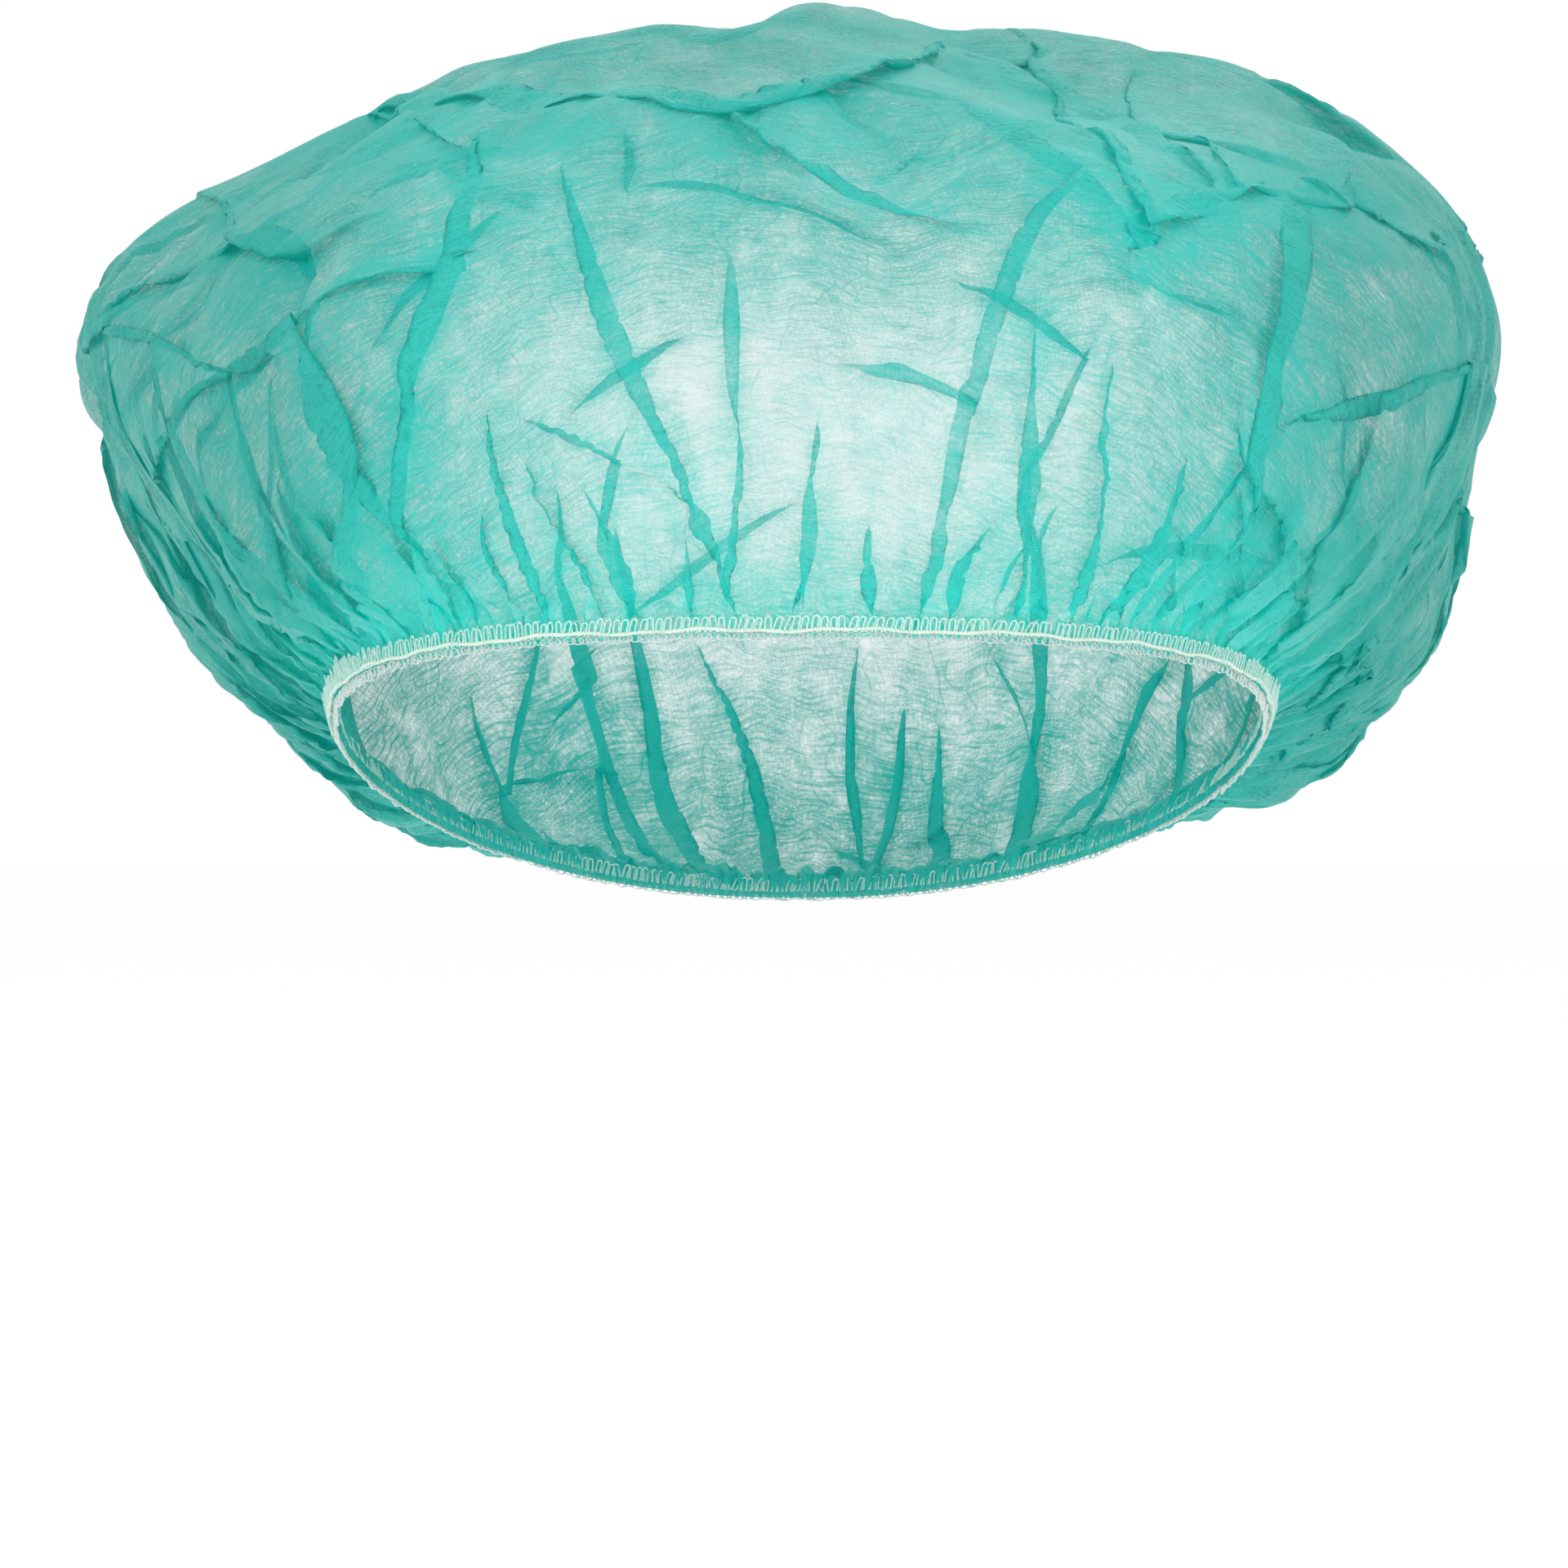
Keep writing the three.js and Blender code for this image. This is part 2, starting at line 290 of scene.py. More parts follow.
# main folds of the front as the camera sees them: across and up in millimetres, width of each tuck
frontFolds = [
    {"line": ((-40, 102), (-34, 80), (-24, 60), (-16, 43), (-13, 30)), "wide": (2, 5, 5, 5, 3)},
    {"line": ((-11.5, 94), (-11, 80), (-10.5, 60), (-10, 31)), "wide": (0, 4, 3, 2)},
    {"line": ((-25, 74), (-18, 54), (-12, 33)), "wide": (0, 3, 3)},
    {"line": ((-54, 64), (-38, 58), (-26, 51), (-16, 41)), "wide": (0, 3, 3, 2)},
    {"line": ((-42, 56), (-32, 43), (-28, 31)), "wide": (0, 3, 3)},
    {"line": ((4, 66), (2, 49), (1, 33)), "wide": (0, 4, 4)},
    {"line": ((-20, 114), (-6, 110), (2, 100), (12, 95), (24, 94), (35, 96)), "wide": (3, 4, 4, 4, 3, 0)},
    {"line": ((10, 99), (18, 105), (26, 110)), "wide": (0, 2, 0)},
    {"line": ((2, 70), (12, 73), (28, 66)), "wide": (0, 5, 2)},
    {"line": ((19, 63), (29, 62)), "wide": (0, 3)},
    {"line": ((31, 68), (42, 69)), "wide": (3, 0)},
    {"line": ((42, 102), (32, 82), (28, 66), (24, 48), (21, 31)), "wide": (3, 5, 5, 3, 3)},
    {"line": ((32, 53), (26, 31)), "wide": (0, 4)},
    {"line": ((42, 80), (38, 53), (37, 31)), "wide": (2, 5, 4)},
    {"line": ((53, 82), (51, 62), (47, 33)), "wide": (0, 2.5, 3)},
    {"line": ((63, 53), (62, 31)), "wide": (0, 4)},
    {"line": ((71, 76), (72, 55), (69, 31)), "wide": (0, 4, 4)},
    {"line": ((88, 94), (79, 66), (75, 50), (73, 31)), "wide": (3, 7, 6, 4)},
    {"line": ((24, 122), (38, 116), (48, 105), (58, 94)), "wide": (4, 9, 9, 4)},
    {"line": ((58, 94), (71, 99), (84, 103), (95, 100), (106, 90)), "wide": (5, 10, 10, 6, 3)},
    {"line": ((36, 128), (52, 116), (66, 104)), "wide": (2, 6, 4)},
    {"line": ((-85, 82), (-67, 88), (-57, 90)), "wide": (2, 5, 3)},
    {"line": ((-56, 106), (-58, 86), (-65, 76), (-67, 66), (-65, 49), (-63, 33)), "wide": (3, 6, 5, 4, 4, 4)},
    {"line": ((-82, 80), (-79, 58), (-75, 46), (-71, 27)), "wide": (2, 5, 5, 4)},
    {
        "line": ((-84, 104), (-61, 113), (-38, 116), (-16, 116), (0, 114), (12, 118), (24, 122)),
        "wide": (3, 8, 8, 9, 8, 7, 4),
    },
    {"line": ((-107, 43), (-91, 33), (-79, 20)), "wide": (3, 6, 5)},
    {"line": ((-109, 66), (-101, 48), (-85, 31)), "wide": (2, 5, 4)},
    {"line": ((-98, 70), (-93, 49), (-79, 26)), "wide": (0, 5, 4)},
    {"line": ((107, 66), (91, 62), (81, 58)), "wide": (2, 4, 2)},
    {"line": ((101, 37), (87, 21), (79, 5)), "wide": (4, 7, 5)},
    {"line": ((98, 58), (91, 46), (80, 24)), "wide": (2, 6, 5)},
    {"line": ((-121, 72), (-107, 68), (-91, 70)), "wide": (3, 5, 2)},
    {"line": ((-114, 82), (-99, 92), (-87, 90), (-67, 98)), "wide": (3, 6, 5, 0)},
    {"line": ((-107, 53), (-95, 66), (-84, 80)), "wide": (3, 5, 2)},
    {"line": ((-87, 78), (-78, 58), (-70, 44)), "wide": (3, 7, 5)},
    {"line": ((-115, 62), (-109, 47), (-101, 37)), "wide": (2, 5, 3)},
    {"line": ((-79, 112), (-67, 102), (-57, 104)), "wide": (2, 5, 2)},
    {"line": ((-101, 100), (-87, 90)), "wide": (2, 5)},
    {"line": ((91, 102), (87, 86), (83, 72)), "wide": (5, 6, 2)},
    {"line": ((107, 92), (113, 76)), "wide": (4, 3)},
    {"line": ((117, 64), (101, 62), (85, 60)), "wide": (2, 4, 2)},
    {"line": ((109, 45), (95, 29), (83, 13)), "wide": (3, 7, 6)},
    {"line": ((79, 53), (80, 29)), "wide": (4, 7)},
    {"line": ((47, 120), (63, 110), (81, 108)), "wide": (2, 5, 2)},
    {"line": ((61, 120), (71, 106)), "wide": (2, 5)},
]

# broad bands where the cloth lies doubled, as the camera sees them: half the width in millimetres
doubled = [
    {
        "line": ((-98, 84), (-84, 103), (-61, 111), (-38, 113), (-16, 112), (6, 111), (26, 121)),
        "half": 5, "more": 0.8,
    },
    {"line": ((22, 122), (38, 113), (50, 103), (60, 92)), "half": 6, "more": 0.9},
    {"line": ((60, 93), (72, 98), (86, 102), (97, 96)), "half": 6, "more": 0.9},
    {"line": ((96, 100), (88, 78), (80, 52), (76, 30)), "half": 7, "more": 0.7},
    {"line": ((112, 80), (106, 56), (97, 38), (86, 20)), "half": 6, "more": 0.8},
    {"line": ((-58, 104), (-62, 80), (-66, 56), (-64, 32)), "half": 5, "more": 0.6},
    {"line": ((-92, 88), (-86, 68), (-79, 48), (-72, 28)), "half": 5, "more": 0.6},
    {"line": ((-112, 56), (-102, 42), (-88, 24)), "half": 6, "more": 0.6},
    {"line": ((-44, 108), (-38, 90), (-30, 72), (-22, 52)), "half": 5, "more": 0.28},
    {"line": ((46, 102), (42, 84), (37, 62), (32, 40)), "half": 6, "more": 0.32},
    {"line": ((-118, 74), (-100, 80), (-84, 78)), "half": 6, "more": 0.5},
]

# tucks set by chance: long and short ones of the sides and back, small ones of the front hem, loose ones
otherFolds = {
    "seed": 7,
    "long": {
        "count": 44, "from": -40, "to": 220,
        "start": (0.006, 0.020), "length": (0.060, 0.140), "wide": (0.003, 0.0065),
    },
    "short": {
        "count": 70, "from": -65, "to": 245,
        "start": (0.005, 0.012), "length": (0.022, 0.050), "wide": (0.0025, 0.0045),
    },
    "front": {
        "count": 40, "from": -158, "to": -22,
        "start": (0.005, 0.010), "length": (0.018, 0.052), "wide": (0.0022, 0.0040),
    },
    "loose": {"count": 34, "away": (0.05, 0.22), "length": (0.03, 0.08), "wide": (0.002, 0.005)},
}

# noise of pleats: cycles round the hem, where they are strongest, how far they reach, depth
pleats = [
    {"cycles": 170, "middle": 0.000, "reach": 0.014, "depth": 0.0010},
    {"cycles": 90, "middle": 0.014, "reach": 0.020, "depth": 0.0018},
    {"cycles": 45, "middle": 0.035, "reach": 0.030, "depth": 0.0022},
    {"cycles": 20, "middle": 0.080, "reach": 0.060, "depth": 0.0020},
    {"cycles": 9, "middle": 0.140, "reach": 0.090, "depth": 0.0025},
]

# ridged noise of the crumpled parts: size of a facet and its depth in metres
crumple = [
    {"size": 0.030, "depth": 0.0036},
    {"size": 0.013, "depth": 0.0014},
]


def discMesh():
    bm = bmesh.new()
    bmesh.ops.create_circle(bm, cap_ends=True, cap_tris=True, segments=6, radius=1.0)
    bmesh.ops.subdivide_edges(bm, edges=bm.edges[:], cuts=cloth["cuts"], use_grid_fill=True)
    sector = math.pi / 3
    for v in bm.verts:
        turn = math.atan2(v.co.y, v.co.x) - math.pi / 6
        local = (turn % sector) - sector / 2
        ring = min(1.0, v.co.length * math.cos(local) / math.cos(sector / 2))
        side = (math.tan(local) / math.tan(sector / 2) + 1) / 2
        even = (math.floor(turn / sector) + side) * sector + math.pi / 6
        v.co = Vector((math.cos(even), math.sin(even), 0)) * ring * cloth["radius"]
    mesh = bpy.data.meshes.new("crown_cloth")
    bm.to_mesh(mesh)
    bm.free()
    return mesh


def layOut(flat):
    # from the flat disc to a direction and a share of the way from top to hem
    shifted = flat[:, :2] - np.array((0.0, cloth["topShift"]))
    turns = np.arctan2(shifted[:, 1], shifted[:, 0])
    away = np.hypot(shifted[:, 0], shifted[:, 1])
    lift = cloth["topShift"] * np.sin(turns)
    reach = -lift + np.sqrt(lift ** 2 + cloth["radius"] ** 2 - cloth["topShift"] ** 2)
    return turns, np.clip(away / reach, 0, 1), reach


def vertexNormals(spots, corners):
    a, b, c = spots[corners[:, 0]], spots[corners[:, 1]], spots[corners[:, 2]]
    across = np.cross(b - a, c - a)
    out = np.zeros_like(spots)
    for k in range(3):
        for axis in range(3):
            out[:, axis] += np.bincount(corners[:, k], across[:, axis], len(spots))
    return out / np.maximum(np.linalg.norm(out, axis=1), 1e-12)[:, None]


def asSeen(spots):
    eye = view["place"]
    zoom = -eye[1] / (spots[:, 1] - eye[1])
    seen = np.empty((len(spots), 2))
    seen[:, 0] = (spots[:, 0] - eye[0]) * zoom + eye[0]
    seen[:, 1] = (spots[:, 2] - eye[2]) * zoom + eye[2]
    return seen


def flatFolds(flat, home, normals):
    # every fold as a line on the flat disc with the width of its tuck at each point
    seen = asSeen(home)
    seen[normals[:, 1] > 0.1] = 9
    found = []
    for row in frontFolds:
        points = np.array(row["line"]) / 1000
        widths = np.array(row["wide"]) / 1000
        run = np.concatenate(([0], np.cumsum(np.linalg.norm(np.diff(points, axis=0), axis=1))))
        steps = np.linspace(0, run[-1], max(3, int(run[-1] / 0.007)))
        line = []
        for s in steps:
            spot = np.array((np.interp(s, run, points[:, 0]), np.interp(s, run, points[:, 1])))
            line.append(flat[((seen - spot) ** 2).sum(1).argmin(), :2])
        line = np.array(line)
        for smoothing in range(3):
            line[1:-1] = 0.25 * line[:-2] + 0.5 * line[1:-1] + 0.25 * line[2:]
        found.append((line, np.interp(steps, run, widths)))
    chance = np.random.default_rng(otherFolds["seed"])
    top = np.array((0.0, cloth["topShift"]))
    for row in (otherFolds["long"], otherFolds["short"], otherFolds["front"]):
        for k in range(row["count"]):
            share = (k + chance.uniform(0.1, 0.9)) / row["count"]
            turn = math.radians(row["from"] + (row["to"] - row["from"]) * share)
            inset = chance.uniform(*row["start"])
            rim = np.array((math.cos(turn), math.sin(turn))) * (cloth["radius"] - inset)
            inward = (top - rim) / np.linalg.norm(top - rim)
            lean = chance.normal(0, 0.22)
            inward = np.array((inward[0] - inward[1] * lean, inward[1] + inward[0] * lean))
            length = chance.uniform(*row["length"])
            bow = chance.normal(0, 0.08) * length
            shares = np.linspace(0, 1, 8)
            aside = np.array((-inward[1], inward[0]))
            line = rim + shares[:, None] * length * inward + np.sin(math.pi * shares)[:, None] * bow * aside
            wide = chance.uniform(*row["wide"])
            found.append((line, wide * np.interp(shares, (0, 0.15, 0.6, 1), (0.6, 1, 0.8, 0))))
    row = otherFolds["loose"]
    for k in range(row["count"]):
        turn = chance.uniform(-0.35, math.pi + 0.35)
        start = np.array((math.cos(turn), math.sin(turn))) * chance.uniform(*row["away"])
        heading = chance.uniform(0, 2 * math.pi)
        way = np.array((math.cos(heading), math.sin(heading)))
        shares = np.linspace(0, 1, 6)
        line = start + (shares[:, None] - 0.5) * chance.uniform(*row["length"]) * way
        found.append((line, chance.uniform(*row["wide"]) * np.interp(shares, (0, 0.3, 0.7, 1), (0, 1, 1, 0))))
    return found


def acrossFold(spots, line, widths):
    # signed distance from a fold, the way across it, and its width there
    best = np.full(len(spots), 1e9)
    signed = np.zeros(len(spots))
    across = np.zeros((len(spots), 2))
    wide = np.zeros(len(spots))
    for k in range(len(line) - 1):
        a, b = line[k], line[k + 1]
        size = np.linalg.norm(b - a)
        if size < 1e-6:
            continue
        way = (b - a) / size
        aside = np.array((-way[1], way[0]))
        held = np.clip(((spots - a) @ way) / size, 0, 1)
        gap = np.linalg.norm(spots - a - held[:, None] * (b - a), axis=1)
        closer = gap < best
        best[closer] = gap[closer]
        side = (spots - a) @ aside
        signed[closer] = side[closer]
        across[closer] = aside
        beyond = np.maximum(0, gap - np.abs(side))
        here = widths[k] + (widths[k + 1] - widths[k]) * held
        wide[closer] = (here * np.exp(-(beyond / 0.006) ** 2))[closer]
    return signed, across, wide


def nearFold(flat, line, reach):
    low, high = line.min(0) - reach, line.max(0) + reach
    return np.where(((flat[:, :2] > low) & (flat[:, :2] < high)).all(1))[0]


def lineUp(flat, folds, spacing):
    # points close to the edge of a tuck move onto it, so that its edge is straight
    for line, widths in folds:
        near = nearFold(flat, line, widths.max())
        signed, across, wide = acrossFold(flat[near, :2], line, widths)
        off = np.sign(signed) * wide / 2 - signed
        use = (np.abs(off) < spacing / 2) & (wide > spacing)
        flat[near[use], :2] += across[use] * off[use][:, None]


def tuck(flat, folds, excess):
    # each fold draws the cloth beside it over itself in three layers
    shift = np.zeros((len(flat), 2))
    lift = np.zeros(len(flat))
    layered = np.zeros(len(flat))
    for line, widths in folds:
        near = nearFold(flat, line, widths.max() * 9)
        signed, across, wide = acrossFold(flat[near, :2], line, widths)
        ratio = np.clip(excess[near], 1.12, 1.6)
        size = np.abs(signed)
        bent = np.where(size < wide / 2, -ratio * size, np.minimum(ratio * (size - wide), size))
        shift[near] += across * (np.sign(signed) * (bent - size))[:, None]
        safe = np.maximum(wide, 1e-5)
        lift[near] += np.clip(2 * signed / safe, -1, 1) * np.exp(-(size / (2.5 * safe)) ** 2) * (wide > 2e-4)
        covered = np.clip((1.5 * wide - size) / 0.0008 + 0.5, 0, 1) * np.clip(wide / 0.003, 0, 1)
        layered[near] = np.maximum(layered[near], covered)
    return shift, lift, layered


def inOval(home, oval):
    # 1 in the middle of a soft-edged oval, 0 well outside it
    across = (home[:, 0] - oval["across"]) / oval["halfWidth"]
    up = (home[:, 2] - oval["up"]) / oval["halfHeight"]
    return np.exp(-across ** oval["power"] - up ** oval["power"])


def neighbourMean(values, edges):
    # mean of the values at the other ends of each vertex's edges
    count = len(values)
    first, second = edges[:, 0], edges[:, 1]
    total = np.empty_like(values)
    for axis in range(values.shape[1]):
        total[:, axis] = np.bincount(first, values[second, axis], count)
        total[:, axis] += np.bincount(second, values[first, axis], count)
    valence = np.bincount(first, minlength=count) + np.bincount(second, minlength=count)
    return total / valence[:, None]


def seedPleats(turns, fromHem):
    bump = np.zeros(len(turns))
    for row in pleats:
        ring = row["cycles"] / math.pi
        strength = np.exp(-((fromHem - row["middle"]) / row["reach"]) ** 2)
        values = np.array([
            noise.noise(Vector((ring * math.cos(t), ring * math.sin(t), 9 * s + row["cycles"])))
            for t, s in zip(turns, fromHem)
        ])
        bump += values * strength * row["depth"] * 1.6
    return bump


def seedCrumple(flat, home, fromHem):
    # sharp-edged facets, strongest where the cloth stands free of the smooth middle
    strength = (1 - 0.75 * inOval(home, ovals["smooth"])) * np.clip((fromHem - 0.012) / 0.05, 0, 1)
    bump = np.zeros(len(flat))
    for row in crumple:
        values = np.array([
            noise.noise(Vector((p[0] / row["size"], p[1] / row["size"], row["size"] * 900)))
            for p in flat
        ])
        bump += (0.35 - 2.2 * np.abs(values)) * row["depth"]
    return bump * strength


def relax(spots, home, normals, edges, rest, pinned, inMost, outMost):
    first, second = edges[:, 0], edges[:, 1]
    count = len(spots)
    valence = np.bincount(first, minlength=count) + np.bincount(second, minlength=count)
    share = (cloth["edgePull"] * 2 / np.maximum(valence, 1))[:, None]
    free = ~pinned
    for step in range(cloth["steps"]):
        between = spots[second] - spots[first]
        length = np.sqrt((between ** 2).sum(1)) + 1e-9
        push = between * (0.5 * (length - rest) / length)[:, None]
        move = np.empty_like(spots)
        for axis in range(3):
            move[:, axis] = np.bincount(first, push[:, axis], count)
            move[:, axis] -= np.bincount(second, push[:, axis], count)
        spots[free] += (move * share)[free]
        if step % cloth["smoothEvery"] == 0:
            spots[free] += (cloth["smooth"] * (neighbourMean(spots, edges) - spots))[free]
        shift = spots - home
        out = (shift * normals).sum(1)
        along = shift - out[:, None] * normals
        out = np.clip(out, -inMost, outMost)
        size = np.sqrt((along ** 2).sum(1)) + 1e-9
        along *= np.minimum(1.0, cloth["sideMost"] / size)[:, None] * (1 - cloth["homing"])
        spots[free] = (home + along + out[:, None] * normals)[free]
    return spots


def denseBands(home, normals):
    # the broad doubled bands of the front
    seen = asSeen(home)
    more = np.zeros(len(home))
    for row in doubled:
        line = np.array(row["line"]) / 1000
        signed, across, wide = acrossFold(seen, line, np.full(len(line), 1.0))
        inside = np.clip((row["half"] / 1000 - np.abs(signed)) / lay["bandEdge"] + 0.5, 0, 1)
        more += row["more"] * inside * wide
    return more * (normals[:, 1] < 0.1)


def clothDensity(flat, home, normals, real, edges, layered, fromHem):
    steep = np.clip(1 / np.maximum(np.abs((real * normals).sum(1)), 0.3) - 1, 0, 2.3)[:, None]
    for blurring in range(lay["steepBlur"]):
        steep = 0.3 * steep + 0.7 * neighbourMean(steep, edges)
    patches = np.array([
        noise.noise(Vector((p[0] * 70, p[1] * 70, 3)))
        + 0.8 * noise.noise(Vector((p[0] * 190, p[1] * 190, 8)))
        + 0.7 * noise.noise(Vector((p[0] * 360, p[1] * 360, 5)))
        for p in flat
    ])
    side = 1 - inOval(home, ovals["thin"])
    behind = np.clip((home[:, 1] - 0.02) / 0.05, 0, 1) * np.clip((0.050 - home[:, 2]) / 0.025, 0, 1)
    top = np.clip((home[:, 2] - lay["topFrom"]) / lay["topOver"], 0, 1)
    dense = lay["baseDense"] + lay["sideDense"] * side + lay["steepDense"] * steep[:, 0]
    dense += (lay["tuckDense"] + lay["sideTuckDense"] * side) * layered
    dense += lay["hemDense"] * np.exp(-fromHem / lay["hemReach"])
    dense += lay["cornerDense"] * side * np.exp(-fromHem / lay["cornerReach"])
    dense += lay["topDense"] * top + lay["napeDense"] * behind
    dense += denseBands(home, normals)
    return dense * (1 + lay["patchDense"] * patches)


def meshCorners(mesh):
    corners = np.empty(len(mesh.polygons) * 3, dtype=np.int32)
    mesh.polygons.foreach_get("vertices", corners)
    return corners.reshape(-1, 3)


def meshEdges(mesh):
    edges = np.empty(len(mesh.edges) * 2, dtype=np.int32)
    mesh.edges.foreach_get("vertices", edges)
    return edges.reshape(-1, 2)


def makeCrown():
    mesh = discMesh()
    flat = meshPoints(mesh)
    corners = meshCorners(mesh)
    edges = meshEdges(mesh)
    first, second = edges[:, 0], edges[:, 1]
    turns, shares, reach = layOut(flat)
    home = onEnvelope(table, turns, shares)
    normals = vertexNormals(home, corners)
    if (normals * (home - np.array(envelope["centre"]))).sum() < 0:
        normals = -normals
        mesh.flip_normals()
    folds = flatFolds(flat, home, normals)
    rim = shares > 0.985
    fixed = flat[rim].copy()
    lineUp(flat, folds, cloth["radius"] / (cloth["cuts"] + 1))
    flat[rim] = fixed
    turns, shares, reach = layOut(flat)
    home = onEnvelope(table, turns, shares)
    rest = np.linalg.norm(flat[first] - flat[second], axis=1)
    fromHem = (1 - shares) * reach
    pinned = shares > 0.9995
    # how much more cloth than envelope there is across each place
    arc = np.linalg.norm(onEnvelope(table, turns + 0.01, shares) - home, axis=1) / 0.01
    excess = shares * reach / np.maximum(arc, 1e-4)
    shift, lift, layered = tuck(flat, folds, excess)
    shift *= np.clip((fromHem - 0.002) / cloth["hemClear"], 0, 1)[:, None]
    moved = flat.copy()
    moved[:, :2] += shift
    tuckedTurns, tuckedShares, tuckedReach = layOut(moved)
    tuckedTurns = np.where(pinned, turns, tuckedTurns)
    tuckedShares = np.where(pinned, shares, np.minimum(tuckedShares, 0.999))
    home = onEnvelope(table, tuckedTurns, tuckedShares)
    normals = onEnvelope(normalTable, tuckedTurns, tuckedShares)
    normals /= np.linalg.norm(normals, axis=1)[:, None]
    inMost = np.interp(fromHem, cloth["atHem"], cloth["inMost"])
    outMost = np.interp(fromHem, cloth["atHem"], cloth["outMost"])
    laid = np.linalg.norm(home[first] - home[second], axis=1)
    spare = np.interp(fromHem[edges].mean(1), cloth["atHem"], cloth["spare"])
    rest = np.minimum(rest, laid * spare)
    bump = seedPleats(turns, fromHem) + seedCrumple(flat, home, fromHem)
    bump = np.clip(bump, -inMost, outMost) + lift * cloth["layerGap"]
    bump[pinned] = 0
    spots = home + normals * bump[:, None]
    spots = relax(spots, home, normals, edges, rest, pinned, inMost, outMost)
    spots[~pinned] += (cloth["lastSmooth"] * (neighbourMean(spots, edges) - spots))[~pinned]
    made = np.linalg.norm(spots[first] - spots[second], axis=1)
    print("cloth relaxed: edges %.3f of their length" % (made.sum() / rest.sum()))
    mesh.vertices.foreach_set("co", spots.ravel())
    dense = clothDensity(flat, home, normals, vertexNormals(spots, corners), edges, layered, fromHem)
    # painted light: the middle of the front is painted paler, as if lit
    light = inOval(home, ovals["lit"])
    # painted light: a strip along the front hem is painted paler, as if lit
    across = (home[:, 0] - paintedLightHem["across"]) / paintedLightHem["halfWidth"]
    paintedHemLight = np.exp(-across ** paintedLightHem["power"] - fromHem / paintedLightHem["tall"]) * (home[:, 1] < 0)
    for name, values in (("painted_light_middle", light), ("painted_light_hem", paintedHemLight), ("dense", dense)):
        layer = mesh.attributes.new(name, "FLOAT", "POINT")
        layer.data.foreach_set("value", values.astype(np.float32))
    uv = mesh.uv_layers.new(name="flat_cloth")
    loopVertices = np.empty(len(mesh.loops), dtype=np.int32)
    mesh.loops.foreach_get("vertex_index", loopVertices)
    places = flat[loopVertices, :2] / (2 * cloth["radius"]) + 0.5
    uv.data.foreach_set("uv", places.ravel())
    for face in mesh.polygons:
        face.use_smooth = True
    mesh.update()
    crown = bpy.data.objects.new("crown_cloth", mesh)
    bpy.context.collection.objects.link(crown)
    return crown


# patterns of the web: how many there are in a metre of flat cloth, which way fibres lie, and their bounds
weave = {
    "drift": 60,
    "fine": 1000,
    "strand": 110,
    "stretch": 15,
    "turns": (0.35, 1.45, 2.5),
    "wander": 0.007,
    "pointsAcross": 4300,
    "pointsAlong": 2200,
    "pointFrom": 0.45,
    "creaseAt": 0.47,
    "creaseHalf": 0.009,
}

# the web's colours, with the paler painted-light colours of the middle and the front hem, how much light
# single cloth passes, the strength of its painted glow, and how strong each part of it is
web = {
    "paintedLightColour": (0.0, 0.335, 0.295),
    "paintedHemLightColour": (0.0, 0.46, 0.395),
    "thinColour": (0.008, 0.195, 0.170),
    "thickColour": (0.0, 0.220, 0.186),
    "paintedGlow": 0.55,
    "passes": 0.64,
    "grain": 1.6,
    "fibre": 0.60,
    "points": 0.55,
    "crease": 0.9,
    "thinRough": 0.66,
    "thickRough": 0.52,
    "relief": 0.0003,
    "reliefShare": 0.5,
}


def newNode(tree, kind, **values):
    node = tree.nodes.new(kind)
    for key, value in values.items():
        setattr(node, key, value)
    return node


def calculate(tree, operation, first, second=None, third=None):
    node = newNode(tree, "ShaderNodeMath", operation=operation)
    for k, value in enumerate((first, second, third)):
        if value is None:
            continue
        if isinstance(value, (int, float)):
            node.inputs[k].default_value = value
        else:
            tree.links.new(value, node.inputs[k])
    return node.outputs[0]


def noiseOf(tree, place, scale, detail, roughness):
    cloud = newNode(tree, "ShaderNodeTexNoise", noise_dimensions="2D")
    cloud.inputs["Scale"].default_value = scale
    cloud.inputs["Detail"].default_value = detail
    cloud.inputs["Roughness"].default_value = roughness
    tree.links.new(place, cloud.inputs["Vector"])
    return cloud


def bentPlace(tree, place, shift):
    # moves the place a little by a noise, so that straight fibres wander
    bend = newNode(tree, "ShaderNodeVectorMath", operation="MULTIPLY_ADD")
    tree.links.new(shift, bend.inputs[0])
    bend.inputs[1].default_value = (weave["wander"], weave["wander"], 0)
    tree.links.new(place, bend.inputs[2])
    return bend.outputs[0]


def ramp(tree, value, start, stop, low=0.0, high=1.0):
    span = newNode(tree, "ShaderNodeMapRange")
    span.inputs["From Min"].default_value = start
    span.inputs["From Max"].default_value = stop
    span.inputs["To Min"].default_value = low
    span.inputs["To Max"].default_value = high
    tree.links.new(value, span.inputs["Value"])
    return span.outputs[0]


def blend(tree, share, first, second):
    # a mix of two colours, each a constant or another node's colour
    mixed = newNode(tree, "ShaderNodeMix", data_type="RGBA")
    tree.links.new(share, mixed.inputs[0])
    for socket, colour in ((6, first), (7, second)):
        if isinstance(colour, tuple):
            mixed.inputs[socket].default_value = (*colour, 1)
        else:
            tree.links.new(colour, mixed.inputs[socket])
    return mixed.outputs[2]


def strands(tree, place, turn):
    # short fine fibres that lie about one way
    laid = newNode(tree, "ShaderNodeMapping")
    laid.inputs["Location"].default_value = (turn, 2 * turn, 0)
    laid.inputs["Rotation"].default_value = (0, 0, turn)
    laid.inputs["Scale"].default_value = (1, weave["stretch"], 1)
    tree.links.new(place, laid.inputs["Vector"])
    grain = noiseOf(tree, laid.outputs[0], weave["strand"], 1, 0.6)
    return ramp(tree, grain.outputs["Fac"], 0.54, 0.72)


